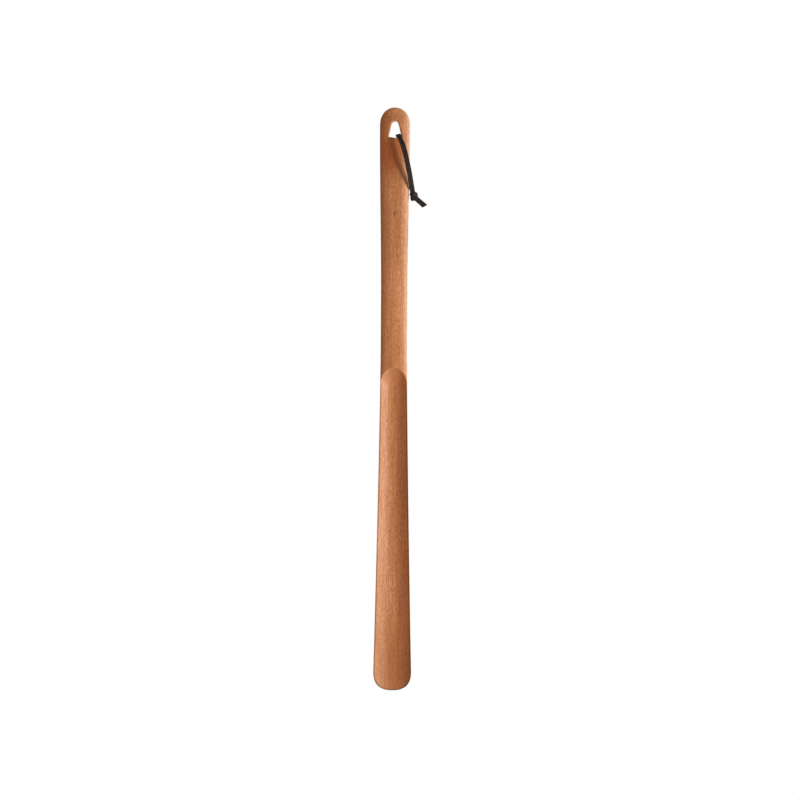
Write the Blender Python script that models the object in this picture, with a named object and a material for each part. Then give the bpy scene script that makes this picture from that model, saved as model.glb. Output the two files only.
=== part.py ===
"""Long beech shoehorn with a leather hanging thong, for Blender 4.5.

Metres, +Z up. The shoehorn hangs upright with its hollow side facing -Y. The origin is the top of
the hang hole's rim, where a peg carries it. Distances called "down" run from the top end.
"""

import math

import bmesh
import bpy
from mathutils import Vector

# Outline, seen from the front.
LENGTH = 0.6000
HEAD_WIDTH = 0.0310
WAIST_WIDTH = 0.0272
BLADE_WIDTH = 0.0388
HEAD_END = 0.0200  # the head starts to taper here
HEAD_LENGTH = 0.0190  # the part of the handle that rounds off
HEAD_ALONG = 2.3  # power of the round end's outline along the handle: 2 makes an ellipse
WAIST_START = 0.1950
WAIST_END = 0.2500
FLARE_EASE = 1.32  # 1 would open the blade in straight lines
TIP_LENGTH = 0.0210  # the part of the blade that rounds off
TIP_ACROSS = 2.3  # the two powers of the tip's outline: 2 and 2 make an ellipse
TIP_ALONG = 2.7

# Handle section: half an ellipse in front and half a deeper one behind, which meet at Y = 0.
CROWN = 0.0052
HEAD_BACK = 0.0056
WAIST_BACK = 0.0078

# Scoop: a gouged channel that plunges through the crown and runs out at the tip.
SCOOP_START = 0.2675
RAMP_SLOPE = 0.74  # fall of the ramp for each unit of length
RAMP_EASE = 0.0070  # length over which the ramp levels out into the channel
SCOOP_DEPTH = 0.0065  # from the rim's crest to the channel's floor
TIP_DEPTH = 0.0100
WALL = 0.0026
TIP_WALL = 0.0018
RIM = 0.0018  # thickness of the rounded rim
RIM_LIFT = 0.0010  # how far the rim stands in front of the edge line where the scoop starts
LIFT_LENGTH = 0.0900  # length over which it comes down to the edge line
BACK_BLEND = 0.0900  # length over which the back turns from the handle's form to the blade's
SWEEP_START = 0.3300
TIP_SWEEP = 0.0040  # how far the tip leans forward

# Hang hole: a rounded triangle, point up, with softened mouths.
HOLE_DOWN = 0.0143  # from the top end to the hole's top
HOLE_HEIGHT = 0.0173
HOLE_WIDTH = 0.0128
HOLE_TOP_RADIUS = 0.0036
HOLE_CORNER_RADIUS = 0.0012
HOLE_FLOOR_RADIUS = 0.0042
HOLE_FLOOR_SAG = 0.0008  # how far the hole's floor hangs below its corners
MOUTH_RADIUS = 0.0011
MOUTH_STEP = 0.00006  # keeps the softened mouth just under the wood's surface

# Leather thong.
THONG_WIDTH = 0.0046
THONG_THICKNESS = 0.0013
KNOT_SIZE = (0.0080, 0.0066, 0.0088)  # across, front to back, along the strands
KNOT_CENTRE = (0.0197, 0.0000, -0.0772)
KNOT_LEAN = math.radians(-16.0)  # turn about Y that lines the knot up with its strands
KNOT_SQUARENESS = 2.8

# The loop's route: from the knot up the front, through the hole and down behind the handle.
LOOP_FRONT = (
    (0.01852, -0.00095, -0.07273),
    (0.0179, -0.0020, -0.0700),
    (0.0167, -0.0056, -0.0630),
    (0.0153, -0.0091, -0.0550),
    (0.0132, -0.0120, -0.0450),
    (0.0108, -0.0133, -0.0345),
    (0.0082, -0.0129, -0.0255),
    (0.0057, -0.0112, -0.0194),
    (0.0041, -0.0090, -0.0158),
    (0.0032, -0.0064, -0.0143),
    (0.0030, -0.0034, -0.0141),
)
LOOP_MIDDLE = (0.0030, 0.0000, -0.0141)
TAIL_ROUTE = (
    (0.0234, 0.0000, -0.0804),
    (0.0262, 0.0000, -0.0828),
    (0.0291, 0.0000, -0.0853),
    (0.0310, 0.0000, -0.0870),
)
TAIL_OFFSET = 0.00080  # each tail's distance from the plane between them
TAIL_SPREAD = 0.0016  # how much further apart their free ends are
LOOP_POINTS = 64
TAIL_POINTS = 5
LOOP_ACROSS = (0.967, 0.0, 0.254)  # the way the lace's width points along the loop
TAIL_ACROSS = (0.656, 0.0, 0.755)

# How finely the wood is faceted.
HALF_COLUMNS = 11  # columns from the centre line to each edge
END_ROWS = 8
HOLE_ROW_STEP = 0.0040
LONG_ROW_STEP = 0.0210
SCOOP_ROWS = (-0.030, -0.020, -0.012, -0.007, -0.0035, -0.0013, 0.0, 0.0013, 0.0035, 0.006)
RAMP_ROWS = (0.009, 0.012, 0.015, 0.018, 0.022, 0.028, 0.036, 0.048)
ARCH_FOOT = 0.93  # share of the half width out to which the rows follow the arch
WARP_ABOVE = 0.045  # reach of the rows' bend round the arch, up the handle
WARP_BELOW = 0.060  # and down the blade
CIRCLE_STEPS = 9
EDGE_STEPS = 5

BEECH = (0.474, 0.188, 0.080, 1.0)
LEATHER = (0.028, 0.018, 0.017, 1.0)


def clear_scene():
    for leftover in list(bpy.data.objects):
        bpy.data.objects.remove(leftover, do_unlink=True)


def make_material(name, colour, roughness):
    material = bpy.data.materials.new(name)
    material.use_nodes = True
    shader = material.node_tree.nodes["Principled BSDF"]
    shader.inputs["Base Color"].default_value = colour
    shader.inputs["Roughness"].default_value = roughness
    shader.inputs["Metallic"].default_value = 0.0
    return material


def add_object(name, data, material):
    made = bpy.data.objects.new(name, data)
    bpy.context.scene.collection.objects.link(made)
    if material:
        data.materials.append(material)
    return made


def mix(first, second, share):
    return first + (second - first) * share


def smooth_step(low, high, value):
    """0 up to low and 1 from high on, level at both ends."""
    share = min(max((value - low) / (high - low), 0.0), 1.0)
    return share * share * (3.0 - 2.0 * share)


def rolled(inset, radius):
    """A quarter circle's height: 0 on the outline, 1 from the radius inwards."""
    share = min(max(inset / radius, 0.0), 1.0)
    return math.sqrt(1.0 - (1.0 - share) ** 2)


# The wood's outline.


def side_width(down):
    """Half the width, as if the two ends weren't rounded off."""
    if down < WAIST_START:
        return mix(HEAD_WIDTH, WAIST_WIDTH, smooth_step(HEAD_END, WAIST_START, down)) / 2
    flare_length = LENGTH - TIP_LENGTH - WAIST_END
    flare = min(max(down - WAIST_END, 0.0) / flare_length, 1.0)
    return mix(WAIST_WIDTH, BLADE_WIDTH, flare**FLARE_EASE) / 2


def head_share(x, down):
    """0 on the handle's centre line and 1 on its outline, the round end included."""
    beyond = max(HEAD_LENGTH - down, 0.0) / HEAD_LENGTH
    return math.sqrt((x / side_width(down)) ** 2 + beyond**HEAD_ALONG)


def tip_share(x, down):
    """0 on the blade's centre line and 1 on its outline, the rounded tip included."""
    beyond = max(down - (LENGTH - TIP_LENGTH), 0.0) / TIP_LENGTH
    across = abs(x) / side_width(down)
    return math.sqrt(across**TIP_ACROSS + beyond**TIP_ALONG)


def outline(down):
    """Half the width, ends included."""
    half = side_width(down)
    if down < HEAD_LENGTH:
        return half * math.sqrt(max(1.0 - (1.0 - down / HEAD_LENGTH) ** HEAD_ALONG, 0.0))
    beyond = max(down - (LENGTH - TIP_LENGTH), 0.0) / TIP_LENGTH
    return half * max(1.0 - beyond**TIP_ALONG, 0.0) ** (1 / TIP_ACROSS)


def inset(x, down):
    """Distance inwards from the outline."""
    half = side_width(down)
    if down < HEAD_LENGTH:
        return half * (1.0 - head_share(x, down))
    return min(half, TIP_LENGTH) * (1.0 - tip_share(x, down))


# The wood's front and back, as Y at a point of the front view.


def dome(x, down):
    """1 on the handle's centre line, and down to 0 at its outline along an ellipse."""
    return math.sqrt(max(1.0 - head_share(x, down) ** 2, 0.0))


def blank_front(x, down):
    return -CROWN * dome(x, down)


def blank_back(x, down):
    return mix(HEAD_BACK, WAIST_BACK, smooth_step(HEAD_END, SCOOP_START, down)) * dome(x, down)


def along_blade(down):
    return min(max(down - SCOOP_START, 0.0) / (LENGTH - SCOOP_START), 1.0)


def rim_line(down):
    """Y of the channel's rim: RIM / 2 in front of the edge line, and more just below the arch."""
    lift = RIM_LIFT * (1.0 - smooth_step(SCOOP_START, SCOOP_START + LIFT_LENGTH, down))
    return -RIM / 2 - lift


def channel(x, down):
    """The channel's surface once the ramp has levelled out: an arc from rim to rim."""
    half = side_width(down)
    depth = mix(SCOOP_DEPTH, TIP_DEPTH, along_blade(down))
    radius = (half**2 + depth**2) / (2.0 * depth)
    return rim_line(down) + depth - radius + math.sqrt(radius**2 - x**2)


def ramp(down):
    """How far the gouge still is from the channel's full depth."""
    total = CROWN + SCOOP_DEPTH + rim_line(SCOOP_START)
    straight = total / RAMP_SLOPE - RAMP_EASE / 2
    run = down - SCOOP_START
    if run < straight:
        return total - RAMP_SLOPE * run
    left = max(straight + RAMP_EASE - run, 0.0)
    return RAMP_SLOPE * left**2 / (2.0 * RAMP_EASE)


def blade_wall(x, down):
    middle = mix(WALL, TIP_WALL, along_blade(down))
    return mix(middle, RIM, (x / side_width(down)) ** 2)


def edge_line(down):
    """Y of the outline: 0, except round the tip, where it follows the blade's bowl."""
    if down <= LENGTH - TIP_LENGTH:
        return 0.0
    edge = outline(down)
    return channel(edge, down) + blade_wall(edge, down) / 2


def gouged_front(x, down):
    edge = edge_line(down)
    surface = channel(x, down) - ramp(down)
    return mix(edge, surface, rolled(inset(x, down), RIM / 2))


def blade_back(x, down):
    edge = edge_line(down)
    surface = channel(x, down) + blade_wall(x, down)
    return mix(edge, surface, rolled(inset(x, down), RIM / 2))


def front(x, down):
    return max(blank_front(x, down), gouged_front(x, down))


def back(x, down):
    share = smooth_step(SCOOP_START, SCOOP_START + BACK_BLEND, down)
    return mix(blank_back(x, down), blade_back(x, down), share)


def sweep(down):
    """How far the blade leans forward."""
    share = max(down - SWEEP_START, 0.0) / (LENGTH - SWEEP_START)
    return TIP_SWEEP * share**2


def arch_drop(column):
    """How far below its top the scoop's arched edge crosses a column, given as a share of the half width."""
    column = min(abs(column), ARCH_FOOT)
    low = SCOOP_START
    high = SCOOP_START + 2.0 * (CROWN + SCOOP_DEPTH) / RAMP_SLOPE
    for _ in range(40):
        middle = (low + high) / 2
        x = column * side_width(middle)
        if gouged_front(x, middle) < blank_front(x, middle):
            low = middle
        else:
            high = middle
    return low - SCOOP_START


def warp(row):
    """How much of the arch a row follows: all of it on the arch itself, and none away from it."""
    run = row - SCOOP_START
    reach = WARP_BELOW if run > 0 else WARP_ABOVE
    return max(1.0 - (run / reach) ** 2, 0.0) ** 2


def spaced(first, last, step):
    """Evenly spaced values from first up to but not including last, no further apart than step."""
    count = max(1, math.ceil((last - first) / step))
    return [mix(first, last, i / count) for i in range(count)]


def body_rows():
    """Distances down at which the wood gets a ring of points, apart from its two poles."""
    quarter = math.pi / 2
    hole_end = HOLE_DOWN + HOLE_HEIGHT + HOLE_ROW_STEP
    rows = []
    for i in range(1, END_ROWS):
        beyond = math.cos(quarter * i / END_ROWS) ** (2 / HEAD_ALONG)
        rows.append(HEAD_LENGTH * (1.0 - beyond))
    rows += spaced(HEAD_LENGTH, hole_end, HOLE_ROW_STEP)
    rows += spaced(hole_end, SCOOP_START + SCOOP_ROWS[0], LONG_ROW_STEP)
    rows += [SCOOP_START + offset for offset in SCOOP_ROWS + RAMP_ROWS]
    blade_end = LENGTH - TIP_LENGTH
    rows += spaced(rows[-1] + LONG_ROW_STEP, blade_end, LONG_ROW_STEP)
    for i in range(END_ROWS):
        beyond = math.sin(quarter * i / END_ROWS) ** (2 / TIP_ALONG)
        rows.append(blade_end + TIP_LENGTH * beyond)
    return rows


def surface_point(x, y, down):
    return Vector((x, y - sweep(down), HOLE_DOWN - down))


def ring(bm, row, columns, drops):
    """One loop of points round the wood: across the front, then back across the rear."""
    points = []
    for column, drop in zip(columns, drops):
        down = row + drop * warp(row)
        x = column * outline(down)
        points.append(surface_point(x, front(x, down), down))
    for column, drop in list(zip(columns, drops))[-2:0:-1]:
        down = row + drop * warp(row)
        x = column * outline(down)
        points.append(surface_point(x, back(x, down), down))
    return [bm.verts.new(point) for point in points]


def join_rings(bm, upper, lower):
    count = len(upper)
    for i in range(count):
        bm.faces.new((upper[i], upper[(i + 1) % count], lower[(i + 1) % count], lower[i]))


def close_with_pole(bm, loop, pole):
    for i in range(len(loop)):
        bm.faces.new((loop[i], loop[(i + 1) % len(loop)], pole))


def finish_mesh(bm, name):
    bmesh.ops.recalc_face_normals(bm, faces=bm.faces)
    mesh = bpy.data.meshes.new(name)
    for face in bm.faces:
        face.smooth = True
    bm.to_mesh(mesh)
    bm.free()
    return mesh


def make_wood():
    bm = bmesh.new()
    quarter = math.pi / 2
    steps = range(-HALF_COLUMNS, HALF_COLUMNS + 1)
    columns = [math.sin(quarter * i / HALF_COLUMNS) for i in steps]
    drops = [arch_drop(column) for column in columns]
    rows = body_rows()
    rings = [ring(bm, row, columns, drops) for row in rows]
    for upper, lower in zip(rings, rings[1:]):
        join_rings(bm, upper, lower)
    close_with_pole(bm, rings[0], bm.verts.new(surface_point(0.0, 0.0, 0.0)))
    close_with_pole(bm, rings[-1], bm.verts.new(surface_point(0.0, edge_line(LENGTH), LENGTH)))
    arch = rings[rows.index(SCOOP_START)][: len(columns)]
    for first, second in zip(arch, arch[1:]):
        bm.edges.get((first, second)).smooth = False
    return finish_mesh(bm, "shoehorn_body")


# The hang hole.


def hole_circles():
    """Circles (x, z, radius) whose hull is the hole's outline, anticlockwise from the top."""
    corner_x = HOLE_WIDTH / 2 - HOLE_CORNER_RADIUS
    corner_z = -(HOLE_HEIGHT - HOLE_FLOOR_SAG - HOLE_CORNER_RADIUS)
    return (
        (0.0, -HOLE_TOP_RADIUS, HOLE_TOP_RADIUS),
        (-corner_x, corner_z, HOLE_CORNER_RADIUS),
        (0.0, HOLE_FLOOR_RADIUS - HOLE_HEIGHT, HOLE_FLOOR_RADIUS),
        (corner_x, corner_z, HOLE_CORNER_RADIUS),
    )


def tangent_angle(first, second):
    """Direction of the outward normal of the line that touches two circles from outside."""
    run = (second[0] - first[0], second[1] - first[1])
    turn = math.asin((first[2] - second[2]) / math.hypot(*run))
    return math.atan2(run[1], run[0]) - math.pi / 2 + turn


def hole_outline(grow):
    """Points (x, z) round the hole, moved outwards by grow."""
    circles = hole_circles()
    turns = [tangent_angle(circles[i - 1], circle) for i, circle in enumerate(circles)]
    points = []
    for i, (x, z, radius) in enumerate(circles):
        start, end = turns[i], turns[(i + 1) % len(circles)]
        sweep_angle = (end - start) % (2.0 * math.pi)
        for step in range(CIRCLE_STEPS):
            angle = start + sweep_angle * step / (CIRCLE_STEPS - 1)
            reach = radius + grow
            points.append((x + reach * math.cos(angle), z + reach * math.sin(angle)))
    return points


def make_hole_cutter():
    """A plug through the wood, flared where it leaves each face so that the mouths are softened."""
    bm = bmesh.new()
    mouth = hole_outline(MOUTH_RADIUS)
    faces = [
        (front(x, HOLE_DOWN - z) + MOUTH_STEP, back(x, HOLE_DOWN - z) - MOUTH_STEP) for x, z in mouth
    ]
    angles = [math.radians(degrees) for degrees in (0.0, 22.5, 45.0, 67.5, 90.0)]
    loops = [[bm.verts.new((x, y - CROWN, z)) for (x, z), (y, _) in zip(mouth, faces)]]
    for angle in angles:
        outline_points = hole_outline(MOUTH_RADIUS * (1.0 - math.sin(angle)))
        sunk = MOUTH_RADIUS * (1.0 - math.cos(angle))
        loops.append(
            [bm.verts.new((x, y + sunk, z)) for (x, z), (y, _) in zip(outline_points, faces)]
        )
    for angle in reversed(angles):
        outline_points = hole_outline(MOUTH_RADIUS * (1.0 - math.sin(angle)))
        sunk = MOUTH_RADIUS * (1.0 - math.cos(angle))
        loops.append(
            [bm.verts.new((x, y - sunk, z)) for (x, z), (_, y) in zip(outline_points, faces)]
        )
    loops.append([bm.verts.new((x, y + HEAD_BACK, z)) for (x, z), (_, y) in zip(mouth, faces)])
    for upper, lower in zip(loops, loops[1:]):
        join_rings(bm, upper, lower)
    bm.faces.new(loops[0])
    bm.faces.new(loops[-1])
    return finish_mesh(bm, "hang_hole_cutter")


def make_body(material):
    cutter = add_object("hang_hole_cutter", make_hole_cutter(), None)
    cutter.hide_render = True
    cutter.display_type = "WIRE"
    body = add_object("shoehorn_body", make_wood(), material)
    hole = body.modifiers.new("hang_hole", "BOOLEAN")
    hole.operation = "DIFFERENCE"
    hole.solver = "EXACT"
    hole.object = cutter
    body.modifiers.new("shading", "WEIGHTED_NORMAL").keep_sharp = True


# The thong.


def smooth_route(points, count):
    """Evenly numbered points on a Catmull-Rom curve through a hand-chosen route."""
    knots = [Vector(point) for point in points]
    knots = [2 * knots[0] - knots[1]] + knots + [2 * knots[-1] - knots[-2]]
    spans = len(points) - 1
    route = []
    for i in range(count):
        place = i * spans / (count - 1)
        span = min(int(place), spans - 1)
        t = place - span
        a, b, c, d = knots[span : span + 4]
        route.append(
            0.5
            * (
                2 * b
                + (c - a) * t
                + (2 * a - 5 * b + 4 * c - d) * t**2
                + (3 * b - a - 3 * c + d) * t**3
            )
        )
    return route


def strap_section():
    """The lace's section: offsets (across, through) round a flat shape with round edges."""
    radius = THONG_THICKNESS / 2
    flat = THONG_WIDTH / 2 - radius
    turn = math.pi / (EDGE_STEPS - 1)
    angles = [turn * i - math.pi / 2 for i in range(EDGE_STEPS)]
    right = [(flat + radius * math.cos(angle), radius * math.sin(angle)) for angle in angles]
    return right + [(-across, -through) for across, through in right]


def add_strap(name, points, across, material):
    """A flat strap swept along a route with its width held to one direction."""
    bm = bmesh.new()
    loops = []
    for i, point in enumerate(points):
        run = (points[min(i + 1, len(points) - 1)] - points[max(i - 1, 0)]).normalized()
        wide = Vector(across)
        wide = (wide - run * wide.dot(run)).normalized()
        thick = run.cross(wide)
        loops.append([bm.verts.new(point + wide * u + thick * v) for u, v in strap_section()])
    for first, second in zip(loops, loops[1:]):
        join_rings(bm, first, second)
    bm.faces.new(loops[0])
    bm.faces.new(loops[-1])
    return add_object(name, finish_mesh(bm, name), material)


def make_knot(material):
    """The knot's outer form: a squarish ball, lined up with the strands that run into it."""
    bm = bmesh.new()
    bmesh.ops.create_uvsphere(bm, u_segments=20, v_segments=12, radius=1.0)
    for vertex in bm.verts:
        size = sum(abs(value) ** KNOT_SQUARENESS for value in vertex.co) ** (1 / KNOT_SQUARENESS)
        vertex.co = Vector([value / size * side / 2 for value, side in zip(vertex.co, KNOT_SIZE)])
    knot = add_object("thong_knot", finish_mesh(bm, "thong_knot"), material)
    knot.location = KNOT_CENTRE
    knot.rotation_euler = (0.0, KNOT_LEAN, 0.0)
    return knot


def make_tail(name, side, material):
    last = len(TAIL_ROUTE) - 1
    points = []
    for i, (x, _, z) in enumerate(TAIL_ROUTE):
        points.append((x, side * (TAIL_OFFSET + TAIL_SPREAD * (i / last) ** 2), z))
    return add_strap(name, smooth_route(points, TAIL_POINTS), TAIL_ACROSS, material)


def make_thong(material):
    behind = [(x, -y, z) for x, y, z in reversed(LOOP_FRONT)]
    route = smooth_route([*LOOP_FRONT, LOOP_MIDDLE, *behind], LOOP_POINTS)
    loop = add_strap("thong_loop", route, LOOP_ACROSS, material)
    pieces = [
        loop,
        make_knot(material),
        make_tail("thong_tail_front", -1.0, material),
        make_tail("thong_tail_rear", 1.0, material),
    ]
    pivot = add_object("thong_pivot", None, None)
    pivot.location = LOOP_MIDDLE
    bpy.context.view_layer.update()
    for piece in pieces:
        piece.parent = pivot
        piece.matrix_parent_inverse = pivot.matrix_world.inverted()


def main():
    clear_scene()
    beech = make_material("oiled_beech", BEECH, 0.5)
    leather = make_material("dark_leather", LEATHER, 0.6)
    make_body(beech)
    make_thong(leather)


main()
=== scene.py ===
"""The looks of a long beech shoehorn with a leather thong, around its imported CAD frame.

Metres, in the CAD's frame: +Z up the handle, the hollow side facing -Y, the origin at the top of
the hang hole. Distances called "down" run from the top end, and a share runs from 0 to 1.
"""

import math

import bmesh
import bpy
from mathutils import Matrix, Vector, noise


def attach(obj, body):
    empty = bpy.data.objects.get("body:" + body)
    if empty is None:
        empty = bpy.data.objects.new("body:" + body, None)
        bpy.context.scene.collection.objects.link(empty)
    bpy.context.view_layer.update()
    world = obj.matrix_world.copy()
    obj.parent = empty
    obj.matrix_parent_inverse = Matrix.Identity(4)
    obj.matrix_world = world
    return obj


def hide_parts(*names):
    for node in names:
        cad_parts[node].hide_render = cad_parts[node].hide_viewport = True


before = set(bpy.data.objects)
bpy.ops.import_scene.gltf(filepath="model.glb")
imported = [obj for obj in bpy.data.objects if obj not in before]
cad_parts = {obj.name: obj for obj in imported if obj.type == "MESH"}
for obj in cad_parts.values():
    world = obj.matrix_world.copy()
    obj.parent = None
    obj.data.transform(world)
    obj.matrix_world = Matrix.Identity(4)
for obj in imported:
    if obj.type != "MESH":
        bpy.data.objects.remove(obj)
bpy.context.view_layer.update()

# Camera.
LENS = 120.0  # in millimetres, as the sensor is
SENSOR = 36.0
FRAME_WIDTH = 0.8227  # what the picture spans at the object
AIM = (0.0066, 0.0, -0.2865)  # what lies in the picture's middle
ROLL = math.radians(0.3)

# Outline, seen from the front.
LENGTH = 0.6000
HEAD_WIDTH = 0.0310
WAIST_WIDTH = 0.0272
BLADE_WIDTH = 0.0388
HEAD_END = 0.0200  # the head starts to taper here
HEAD_LENGTH = 0.0190  # the part of the handle that rounds off
HEAD_ALONG = 2.3  # power of the round end's outline along the handle: 2 makes an ellipse
WAIST_START = 0.1950
WAIST_END = 0.2500
FLARE_EASE = 1.32  # 1 would open the blade in straight lines
TIP_LENGTH = 0.0210  # the part of the blade that rounds off
TIP_ACROSS = 2.3  # the two powers of the tip's outline: 2 and 2 make an ellipse
TIP_ALONG = 2.7

# Handle section: half an ellipse in front and half a deeper one behind, which meet at Y = 0.
CROWN = 0.0052
HEAD_BACK = 0.0056
WAIST_BACK = 0.0078

# Scoop: a gouged channel that plunges through the crown and runs out at the tip.
SCOOP_START = 0.2675
RAMP_SLOPE = 0.74  # fall of the ramp for each unit of length
RAMP_EASE = 0.0070  # length over which the ramp levels out into the channel
SCOOP_DEPTH = 0.0065  # from the rim's crest to the channel's floor
TIP_DEPTH = 0.0100
WALL = 0.0026
TIP_WALL = 0.0018
RIM = 0.0018  # thickness of the rounded rim
RIM_LIFT = 0.0010  # how far the rim stands in front of the edge line where the scoop starts
LIFT_LENGTH = 0.0900  # length over which it comes down to the edge line
BACK_BLEND = 0.0900  # length over which the back turns from the handle's form to the blade's
SWEEP_START = 0.3300
TIP_SWEEP = 0.0040  # how far the tip leans forward
ARCH_SOFTNESS = 0.0012  # the step between crown and gouge within which their ridge is eased

# Hang hole: a rounded triangle, point up, with softened mouths.
HOLE_DOWN = 0.0143  # from the top end to the hole's top
HOLE_HEIGHT = 0.0173
HOLE_WIDTH = 0.0128
HOLE_TOP_RADIUS = 0.0036
HOLE_CORNER_RADIUS = 0.0012
HOLE_FLOOR_RADIUS = 0.0042
HOLE_FLOOR_SAG = 0.0008  # how far the hole's floor hangs below its corners
MOUTH_RADIUS = 0.0011
MOUTH_STEP = 0.00002  # keeps the softened mouth just under the wood's surface

# The loop's route: from the knot up the front, through the hole and down behind the handle.
LOOP_FRONT = (
    (0.01852, -0.00095, -0.07273),
    (0.0179, -0.0020, -0.0700),
    (0.0167, -0.0056, -0.0630),
    (0.0153, -0.0091, -0.0550),
    (0.0132, -0.0120, -0.0450),
    (0.0108, -0.0133, -0.0345),
    (0.0082, -0.0129, -0.0255),
    (0.0057, -0.0112, -0.0194),
    (0.0041, -0.0090, -0.0158),
    (0.0032, -0.0064, -0.0143),
    (0.0030, -0.0034, -0.0141),
)
LOOP_MIDDLE = (0.0030, 0.0000, -0.0141)
LOOP_ACROSS = (0.967, 0.0, 0.254)  # the way the lace's width points along the loop
LOOP_TWIST = 0.12  # the most that it turns away from there, in radians
LOOP_TWIST_PACE = 14.0  # how much of the twist's wave the loop holds, in radians
LOOP_SEED = 1.0
INTO_KNOT = 0.45  # share of the way to the knot's centre that the loop runs on

# The tails' route, which starts inside the knot.
TAIL_ROUTE = (
    (0.0215, 0.0000, -0.0788),
    (0.0234, 0.0000, -0.0804),
    (0.0262, 0.0000, -0.0828),
    (0.0291, 0.0000, -0.0853),
    (0.0310, 0.0000, -0.0870),
)
TAIL_OFFSET = 0.00080  # each tail's distance from the plane between them
TAIL_SPREAD = 0.0016  # how much further apart their free ends are
TAIL_ACROSS = (0.656, 0.0, 0.755)
TAIL_SLANT = 0.35  # how far their ends are cut askew, for each unit of width
TAILS = (("front", -1.0, 2.0), ("rear", 1.0, 3.0))  # name, side in Y, seed

# The lace: a cut strip whose edges waver and whose faces swell and cup a little.
THONG_WIDTH = 0.0046
THONG_THICKNESS = 0.0013
LACE_EASE = 0.00032  # radius of its four long edges
CUT_EDGE_DEPTH = 0.00012  # how near its side a face has to be to count as a cut edge
STRAND_SPREAD = 1.12  # how much wider the strands are outside the hole
PINCH = (0.05, 0.16)  # where they widen, as shares of the loop on from its middle
WAVERS = ((420.0, 0.00014), (1500.0, 0.00004))  # pace along the lace, and reach
SWELL_PACE = (600.0, 500.0)  # along the lace and across it
SWELL_REACH = 0.00005
SWELL_SEED = 5.0  # keeps the swell unlike the waver
CUP = 0.00010

# The knot: a squarish core and three flat bands round it, merged to one skin.
KNOT_CENTRE = (0.0197, 0.0000, -0.0772)
SKIN_SHIFT = (0.0003, 0.0, 0.0005)  # from there to the middle of the finished skin
SKIN_LEAN = math.radians(-6.0)
CORE_SIZE = (0.0040, 0.0028, 0.0043)  # half sizes
CORE_SQUARENESS = 0.75  # 1 makes a ball
CORE_SEGMENTS = 24
CORE_RINGS = 16
BAND_THICKNESS = 0.0014
BAND_SQUARENESS = (0.6, 0.8)  # of a band's section, across and through: 1 and 1 make an ellipse
KNOT_BANDS = (  # centre, the ellipse's radii, tilt and lean in degrees, width
    ((-0.0003, 0.0, 0.0019), (0.0034, 0.0030), 6.0, 8.0, 0.0036),
    ((-0.0001, 0.0001, -0.0020), (0.0034, 0.0029), -22.0, -10.0, 0.0036),
    ((-0.0012, 0.0, 0.0), (0.0037, 0.0029), 78.0, 4.0, 0.0030),
)
SKIN_VOXEL = 0.00016
SKIN_EASE = 0.5  # how strongly each round smooths the skin
SKIN_EASE_ROUNDS = 3

# How finely things are faceted.
HALF_COLUMNS = 34  # columns from the centre line to each edge
END_ROWS = 22
HOLE_ROW_STEP = 0.0010
LONG_ROW_STEP = 0.0040
ARCH_STEPS = (0.00015, 0.00035, 0.0006, 0.001, 0.0016, 0.0025, 0.004, 0.006, 0.008, 0.010, 0.013)
STEPS_BELOW_ARCH = 6  # how many of them are repeated below the arch
RAMP_ROW_STEP = 0.0012
RAMP_REACH = 0.0300  # how far the ramp's closer rows run
ARCH_FOOT = 0.93  # share of the half width out to which the rows follow the arch
WARP_ABOVE = 0.045  # reach of the rows' bend round the arch, up the handle
WARP_BELOW = 0.060  # and down the blade
HALVINGS = 40  # rounds of the search for the arch's edge
CIRCLE_STEPS = 17
MOUTH_STEPS = 8
LOOP_POINTS = 160
TAIL_POINTS = 24
SPAN_STEPS = 24  # between two chosen points of a route
LACE_CORNER_STEPS = 3
LACE_FACE_STEPS = 5
BAND_STEPS = 40
BAND_SECTION_STEPS = 12

# The blade's thin rim is darkened by painted shade, whose share a mesh attribute tells the
# material.
RIM_SHADE_LAYER = "rim"
RIM_SHADE_INSETS = (0.0010, 0.0022)  # it fades out between these distances from the outline
RIM_SHADE_FADE = 0.0200  # length over which it sets in down the blade
RIM_SHADE_TINT = (0.52, 0.53, 0.58)

# Beech's figure: the pace of each pattern along x, y and z, a place in it, and its colours. A ramp
# is two stops of share and colour, and all ramps but the tone's multiply it, as all tints do.
BROAD_PACE = (70.0, 70.0, 9.0)
STREAK_PACE = (900.0, 900.0, 22.0)
FINE_PACE = (3200.0, 3200.0, 90.0)
DASH_PACE, DASH_PLACE = (1500.0, 1500.0, 330.0), (7.3, 2.9, 1.1)
RAY_PACE, RAY_PLACE = (2400.0, 900.0, 330.0), (3.1, 1.7, 0.4)
PORE_PACE, PORE_PLACE = (5200.0, 5200.0, 420.0), (0.6, 2.2, 5.0)
TONE_RAMP = ((0.30, (0.450, 0.166, 0.053)), (0.70, (0.590, 0.244, 0.102)))
STREAK_RAMP = ((0.25, (0.83, 0.76, 0.64)), (0.75, (1.15, 1.22, 1.34)))
DASH_RAMP = ((0.27, (0.69, 0.55, 0.34)), (0.73, (1.31, 1.47, 1.78)))
FINE_RAMP = ((0.3, (0.93, 0.92, 0.91)), (0.7, (1.06, 1.06, 1.07)))
RAY_BAND, RAY_SHARE, RAY_COLOUR = (0.63, 0.74), 0.42, (0.250, 0.085, 0.034)
PORE_BAND, PORE_SHARE, PORE_COLOUR = (0.64, 0.78), 0.35, (0.210, 0.075, 0.030)
PORE_SINK = 0.8  # how deep pores are, against the streaks
NOISE_SPAN = (0.2, 0.8)  # what noise mostly fills
BEECH_ROUGHNESS = (0.46, 0.40)
BEECH_SPECULAR = 0.20
BEECH_RELIEF, BEECH_RELIEF_SHARE = 0.00004, 0.5
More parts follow.
